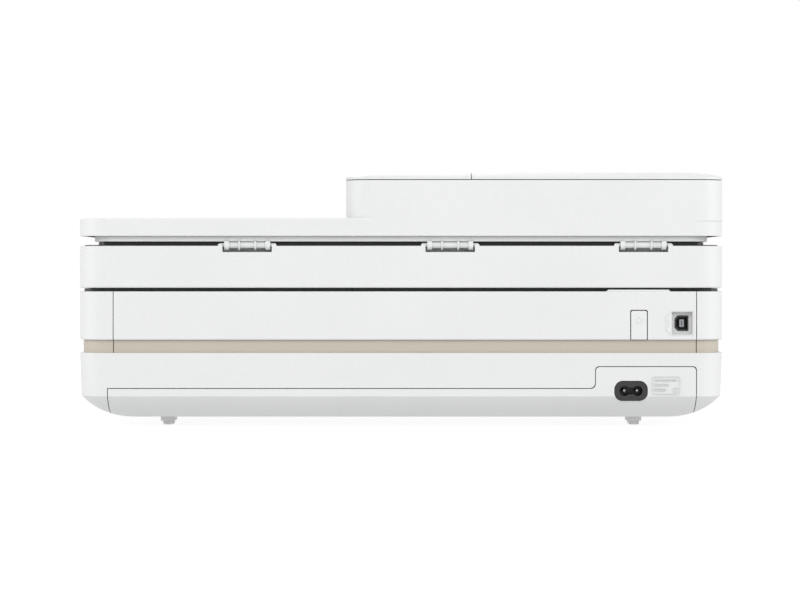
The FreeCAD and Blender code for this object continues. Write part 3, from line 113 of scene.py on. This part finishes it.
def add_bump(tree, shader, fac, height, strength=1.0, before=None):
    bump = tree.nodes.new("ShaderNodeBump")
    bump.inputs["Distance"].default_value = height
    bump.inputs["Strength"].default_value = strength
    tree.links.new(fac, bump.inputs["Height"])
    if before:
        tree.links.new(before, bump.inputs["Normal"])
    tree.links.new(bump.outputs["Normal"], shader.inputs["Normal"])


def tint(colour, factor):
    return tuple(min(1.0, c * factor) for c in colour)


def grained_plastic(name, colour, roughness=0.48, grain=1500.0, height=0.00022, spread=0.012):
    """Moulded plastic with a spark-eroded grain and a faint cloudiness."""
    material, tree, shader = new_material(name)
    set_base(shader, colour, roughness)
    vary_colour(tree, shader, noise(tree, 18.0, 3.0), tint(colour, 1 - spread), tint(colour, 1 + spread))
    vary_roughness(tree, shader, noise(tree, 60.0), roughness - 0.05, roughness + 0.05)
    soft = tree.nodes.new("ShaderNodeBevel")
    soft.samples = 4
    soft.inputs["Radius"].default_value = 0.35 * MM
    add_bump(tree, shader, noise(tree, grain, 2.0), height, 0.8, soft.outputs["Normal"])
    return material


def smooth_plastic(name, colour, roughness=0.25):
    material, tree, shader = new_material(name)
    set_base(shader, colour, roughness)
    vary_roughness(tree, shader, noise(tree, 90.0), roughness - 0.04, roughness + 0.06)
    add_bump(tree, shader, noise(tree, 350.0), 0.00004, 0.4)
    return material


def brushed_metal(name, colour, roughness, stretch):
    material, tree, shader = new_material(name)
    set_base(shader, colour, roughness, metallic=1.0)
    streaks = noise(tree, 300.0, 3.0, stretch)
    vary_roughness(tree, shader, streaks, roughness - 0.08, roughness + 0.1)
    add_bump(tree, shader, streaks, 0.00003, 0.5)
    return material


def rubber(name, colour, grain=900.0):
    material, tree, shader = new_material(name)
    set_base(shader, colour, 0.75, specular=0.3)
    vary_colour(tree, shader, noise(tree, 120.0), tint(colour, 0.8), tint(colour, 1.25))
    add_bump(tree, shader, noise(tree, grain), 0.0001, 0.6)
    return material


def clear_glass():
    material, tree, shader = new_material("clear_glass")
    set_base(shader, (0.93, 0.97, 0.96), 0.03)
    shader.inputs["Transmission Weight"].default_value = 0.95
    shader.inputs["IOR"].default_value = 1.5
    add_bump(tree, shader, noise(tree, 3.0), 0.00002, 0.1)
    return material


def foam():
    material, tree, shader = new_material("pad_foam")
    set_base(shader, (0.85, 0.85, 0.84), 0.7)
    vary_colour(tree, shader, noise(tree, 40.0), (0.82, 0.82, 0.81), (0.87, 0.87, 0.86))
    add_bump(tree, shader, noise(tree, 2200.0), 0.00015, 0.6)
    return material


def circuit_board():
    material, tree, shader = new_material("board_green")
    set_base(shader, (0.02, 0.12, 0.06), 0.3)
    cells = tree.nodes.new("ShaderNodeTexVoronoi")
    cells.distance = "MANHATTAN"
    cells.inputs["Scale"].default_value = 260.0
    tree.links.new(place_coords(tree), cells.inputs["Vector"])
    vary_colour(tree, shader, cells.outputs["Distance"], (0.05, 0.22, 0.1), (0.015, 0.1, 0.05))
    return material


WHITE = (0.563, 0.571, 0.567)
SAND = (0.396, 0.360, 0.304)
LOOKS = {
    "white_casing": grained_plastic("white_casing", WHITE),
    "sand_band": grained_plastic("sand_band", SAND, 0.5),
    "foot_rubber": rubber("foot_rubber", (0.55, 0.55, 0.55)),
    "screw_steel": brushed_metal("screw_steel", (0.4, 0.4, 0.41), 0.35, (1, 1, 8)),
    "black_connector": smooth_plastic("black_connector", (0.012, 0.012, 0.013), 0.35),
    "module_black": grained_plastic("module_black", (0.035, 0.035, 0.04), 0.55),
    "board_green": circuit_board(),
    "sheet_steel": brushed_metal("sheet_steel", (0.6, 0.61, 0.62), 0.38, (0.05, 1, 1)),
    "ground_steel": brushed_metal("ground_steel", (0.75, 0.75, 0.76), 0.15, (1, 6, 6)),
    "frame_grey": grained_plastic("frame_grey", (0.045, 0.046, 0.05), 0.5),
    "carriage_black": grained_plastic("carriage_black", (0.03, 0.03, 0.033), 0.42),
    "latch_grey": grained_plastic("latch_grey", (0.28, 0.3, 0.33), 0.4),
    "cartridge_plastic": smooth_plastic("cartridge_plastic", (0.025, 0.025, 0.028), 0.3),
    "roller_rubber": rubber("roller_rubber", (0.05, 0.05, 0.052)),
    "pinch_plastic": smooth_plastic("pinch_plastic", (0.72, 0.72, 0.68), 0.35),
    "belt_rubber": rubber("belt_rubber", (0.025, 0.025, 0.026)),
    "guide_grey": grained_plastic("guide_grey", (0.22, 0.23, 0.25), 0.45),
    "bezel_black": smooth_plastic("bezel_black", (0.012, 0.012, 0.013), 0.3),
    "clear_glass": clear_glass(),
    "display_black": smooth_plastic("display_black", (0.006, 0.006, 0.008), 0.06),
    "head_black": grained_plastic("head_black", (0.02, 0.02, 0.022), 0.5),
    "pad_foam": foam(),
}


def dress_nodes():
    for entry in frame["record"]["subparts"]:
        mesh = NODES[entry["node"]].data
        mesh.materials.clear()
        mesh.materials.append(LOOKS[entry["material_slot"]])


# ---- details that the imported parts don't carry -----------------------------------------------
REAR_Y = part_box("rear_panel")[1].y
PAN_REAR_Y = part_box("base_pan")[1].y
SINK = 0.1 * MM              # how far a raised detail reaches into its wall


def to_object(name, bm, body, look):
    """One finished piece: its mesh, its material and the body that it rides."""
    mesh = bpy.data.meshes.new(name)
    bmesh.ops.recalc_face_normals(bm, faces=bm.faces)
    bm.to_mesh(mesh)
    bm.free()
    mesh.materials.append(LOOKS[look])
    piece = bpy.data.objects.new(name, mesh)
    bpy.context.collection.objects.link(piece)
    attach(piece, body)


def bridge(bm, rings):
    """Walls of four-sided faces between each ring of vertices and the next."""
    for low, high in zip(rings, rings[1:]):
        count = len(low)
        for i in range(count):
            j = (i + 1) % count
            bm.faces.new((low[i], low[j], high[j], high[i]))


def spread_ring(ring, grow):
    """The ring with each of its points moved outwards from its middle."""
    middle_x = sum(x for x, z in ring) / len(ring)
    middle_z = sum(z for x, z in ring) / len(ring)
    points = []
    for x, z in ring:
        reach = max(math.hypot(x - middle_x, z - middle_z), TINY)
        pull = 1 + grow / reach
        points.append((middle_x + (x - middle_x) * pull, middle_z + (z - middle_z) * pull))
    return points


def add_band(bm, outer, inner, y_back, y_front, slope=0.0):
    """A flat frame that stands on a wall facing +Y; outer and inner are rings of (x, z) points."""
    levels = ((outer, y_back), (spread_ring(outer, -slope), y_front),
              (spread_ring(inner, slope), y_front), (inner, y_back))
    rings = [[bm.verts.new((x, y, z)) for x, z in ring] for ring, y in levels]
    bridge(bm, rings + rings[:1])


def rounded_ring(x0, x1, z0, z1, radius, steps=5):
    points = []
    corners = ((x1 - radius, z1 - radius, 0), (x0 + radius, z1 - radius, 90),
               (x0 + radius, z0 + radius, 180), (x1 - radius, z0 + radius, 270))
    for cx, cz, start in corners:
        for i in range(steps + 1):
            angle = math.radians(start + 90 * i / steps)
            points.append((cx + radius * math.cos(angle), cz + radius * math.sin(angle)))
    return points


def circle_ring(cx, cz, radius, count=32):
    turn = 2 * math.pi / count
    return [(cx + radius * math.cos(i * turn), cz + radius * math.sin(i * turn)) for i in range(count)]


def make_button_ring():
    """A thin raised ring on the power button."""
    low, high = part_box("power_button")
    below_top, outer_r, inner_r, rise, slope = 6.5 * MM, 2.1 * MM, 1.75 * MM, 0.12 * MM, 0.05 * MM
    cx, cz = (low.x + high.x) / 2, high.z - below_top
    bm = bmesh.new()
    add_band(bm, circle_ring(cx, cz, outer_r), circle_ring(cx, cz, inner_r), high.y - SINK,
             high.y + rise, slope)
    to_object("power_button_ring", bm, "button", "white_casing")


def make_usb_frame():
    """The raised frame round the data socket, cut off at both corners of one side, with three rings."""
    low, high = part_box("usb_port")
    cx, cz = (low.x + high.x) / 2, (low.z + high.z) / 2
    half_w, half_h = 7.9 * MM, 8.4 * MM
    long_side, cut_size, width = 3.2 * MM, 3.7 * MM, 0.55 * MM

    def ring(grow):
        left, right = cx + half_w + long_side + grow, cx - half_w - grow
        top, bottom = cz + half_h + grow, cz - half_h - grow
        cut = cut_size + 0.4 * grow
        return [(right, bottom), (left - cut, bottom), (left, bottom + cut), (left, top - cut),
                (left - cut, top), (right, top)]

    bm = bmesh.new()
    add_band(bm, ring(0), ring(-width), REAR_Y - SINK, REAR_Y + 0.15 * MM, 0.08 * MM)
    dot_x, dot_pitch, dot_sides = cx + half_w + 1.2 * MM, 1.6 * MM, 12
    for step in (-1, 0, 1):
        outer, inner = (circle_ring(dot_x, cz + step * dot_pitch, r * MM, dot_sides) for r in (0.45, 0.18))
        add_band(bm, outer, inner, REAR_Y - SINK, REAR_Y + 0.1 * MM, 0.02 * MM)
    to_object("usb_frame", bm, "base", "white_casing")


def make_rating_panel():
    """A raised frame beside the power inlet with plain relief marks instead of lettering."""
    inlet_low, inlet_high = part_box("power_inlet")
    away, panel_w, panel_h = 3.1 * MM, 18.6 * MM, 11.9 * MM
    x1, z1 = inlet_low.x - away, inlet_high.z + away
    x0, z0 = x1 - panel_w, z1 - panel_h
    line, radius = 0.45 * MM, 0.9 * MM
    bm = bmesh.new()
    add_band(bm, rounded_ring(x0, x1, z0, z1, radius),
             rounded_ring(x0 + line, x1 - line, z0 + line, z1 - line, radius - line),
             PAN_REAR_Y - SINK, PAN_REAR_Y + 0.14 * MM, 0.06 * MM)

    def mark(right, top, width, height):
        outer = rounded_ring(right - width, right, top - height, top, 0.3 * MM, 2)
        rim = 0.35 * MM
        inner = rounded_ring(right - width + rim, right - rim, top - height + rim, top - rim, 0.1 * MM, 2)
        add_band(bm, outer, inner, PAN_REAR_Y - SINK, PAN_REAR_Y + 0.08 * MM, 0.02 * MM)

    margin, pitch, row_pitch, mark_w, mark_h = 1.5 * MM, 1.7 * MM, 3.2 * MM, 1.2 * MM, 1.7 * MM
    for row, marks in enumerate((9, 6, 5)):
        for i in range(marks):
            mark(x1 - margin - i * pitch, z1 - margin - row * row_pitch, mark_w, mark_h)
    mark(x0 + 4.6 * MM, z1 - 7.6 * MM, 2.8 * MM, 2.6 * MM)
    to_object("rating_panel", bm, "base", "white_casing")


def add_lathe(bm, profile, place, count=20):
    """A turned piece along Y; profile is a list of (radius, distance from place)."""
    rings = []
    for radius, reach in profile:
        ring = circle_ring(place.x, place.z, radius, count)
        rings.append([bm.verts.new((x, place.y + reach, z)) for x, z in ring])
    bridge(bm, rings)
    bm.faces.new(rings[0])
    bm.faces.new(rings[-1])


def make_inlet_pins():
    """Plated sleeves with rounded tips over the two mains pins."""
    low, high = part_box("power_inlet")
    middle = (low + high) / 2
    half_pitch, tip_y = 4.3 * MM, REAR_Y - 4.9 * MM
    bm = bmesh.new()
    profile = [(1.2, -8.0), (1.2, -0.6), (1.05, -0.2), (0.75, 0.1), (0.35, 0.25)]
    for side in (-1, 1):
        place = Vector((middle.x + side * half_pitch, tip_y, middle.z))
        add_lathe(bm, [(r * MM, reach * MM) for r, reach in profile], place)
    to_object("inlet_pin_sleeves", bm, "base", "screw_steel")


def make_usb_contacts():
    """The grey insulator on the socket's tongue, with a slot down its middle."""
    low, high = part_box("usb_port")
    cx, cz = (low.x + high.x) / 2, (low.z + high.z) / 2
    face_y = high.y - 0.8 * MM
    half_w, half_h = 1.62 * MM, 2.65 * MM
    bm = bmesh.new()
    add_band(bm, rounded_ring(cx - half_w, cx + half_w, cz - half_h, cz + half_h, 0.3 * MM),
             rounded_ring(cx - 0.2 * MM, cx + 0.2 * MM, cz - 1.2 * MM, cz + 1.2 * MM, 0.1 * MM),
             face_y - 3.0 * MM, face_y + 0.12 * MM, 0.15 * MM)
    to_object("usb_tongue_cover", bm, "base", "guide_grey")


def make_bottom_peg():
    """A small black locating peg under the hull, near its rear edge."""
    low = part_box("base_pan")[0]
    x, y, z, count = -29.6 * MM, 146.0 * MM, low.z + 6.2 * MM, 16
    profile = ((0.9, 0.0), (0.9, 1.5), (0.75, 2.3), (0.4, 2.6))
    bm = bmesh.new()
    rings = []
    for radius, drop in profile:
        ring = circle_ring(x, y, radius * MM, count)
        rings.append([bm.verts.new((px, py, z - drop * MM)) for px, py in ring])
    bridge(bm, rings)
    bm.faces.new(rings[-1])
    bm.faces.new(rings[0])
    to_object("bottom_peg", bm, "base", "black_connector")


DETAILS = (make_button_ring, make_usb_frame, make_rating_panel, make_inlet_pins, make_usb_contacts,
           make_bottom_peg)


# ---- floor, light and camera -----------------------------------------------------------------
def make_stage():
    material, tree, shader = new_material("pale_floor")
    set_base(shader, (0.12, 0.12, 0.12), 0.9, specular=0.1)
    shader.inputs["Emission Color"].default_value = (1.0, 1.0, 1.0, 1.0)
    shader.inputs["Emission Strength"].default_value = 0.88
    bm = bmesh.new()
    bmesh.ops.create_grid(bm, x_segments=1, y_segments=1, size=12.0)
    mesh = bpy.data.meshes.new("floor")
    bm.to_mesh(mesh)
    floor = bpy.data.objects.new("floor", mesh)
    mesh.materials.append(material)
    bpy.context.collection.objects.link(floor)
    world = bpy.data.worlds.new("studio")
    bpy.context.scene.world = world
    world.use_nodes = True
    background = world.node_tree.nodes["Background"]
    background.inputs["Color"].default_value = (1.0, 1.0, 1.0, 1.0)
    background.inputs["Strength"].default_value = 1.0
    bpy.context.scene.view_settings.view_transform = "Standard"


def area_light(name, place, aim, size, power):
    data = bpy.data.lights.new(name, "AREA")
    data.shape = "RECTANGLE"
    data.size, data.size_y = size
    data.energy = power
    lamp = bpy.data.objects.new(name, data)
    lamp.location = place
    lamp.rotation_euler = (Vector(aim) - Vector(place)).to_track_quat("-Z", "Y").to_euler()
    bpy.context.collection.objects.link(lamp)


def make_lights():
    aim = (0, 0, 0.08)
    area_light("rear_key", (-0.2, 2.4, 1.3), aim, (2.4, 1.2), 26.0)
    area_light("side_plus", (2.2, 0.7, 0.7), aim, (1.0, 1.2), 17.0)
    area_light("side_minus", (-2.2, 0.7, 0.7), aim, (1.0, 1.2), 17.0)
    area_light("front_fill", (0.6, -2.2, 1.4), aim, (1.6, 1.2), 15.0)


def make_camera():
    """A long lens square to the rear, level with the casing's upper part."""
    half_depth = cad_box[1].y
    distance, height, view_width, sensor = 1.9, 0.105, 0.5336, 36.0
    data = bpy.data.cameras.new("camera")
    data.sensor_width = sensor
    data.lens = sensor * distance / view_width
    data.shift_y = -0.0369
    camera = bpy.data.objects.new("camera", data)
    camera.location = (0.0007, half_depth + distance, height)
    camera.rotation_euler = (math.radians(90), 0, math.radians(180))
    bpy.context.collection.objects.link(camera)
    bpy.context.scene.camera = camera


dress_nodes()
for make_detail in DETAILS:
    make_detail()
make_stage()
make_lights()
make_camera()
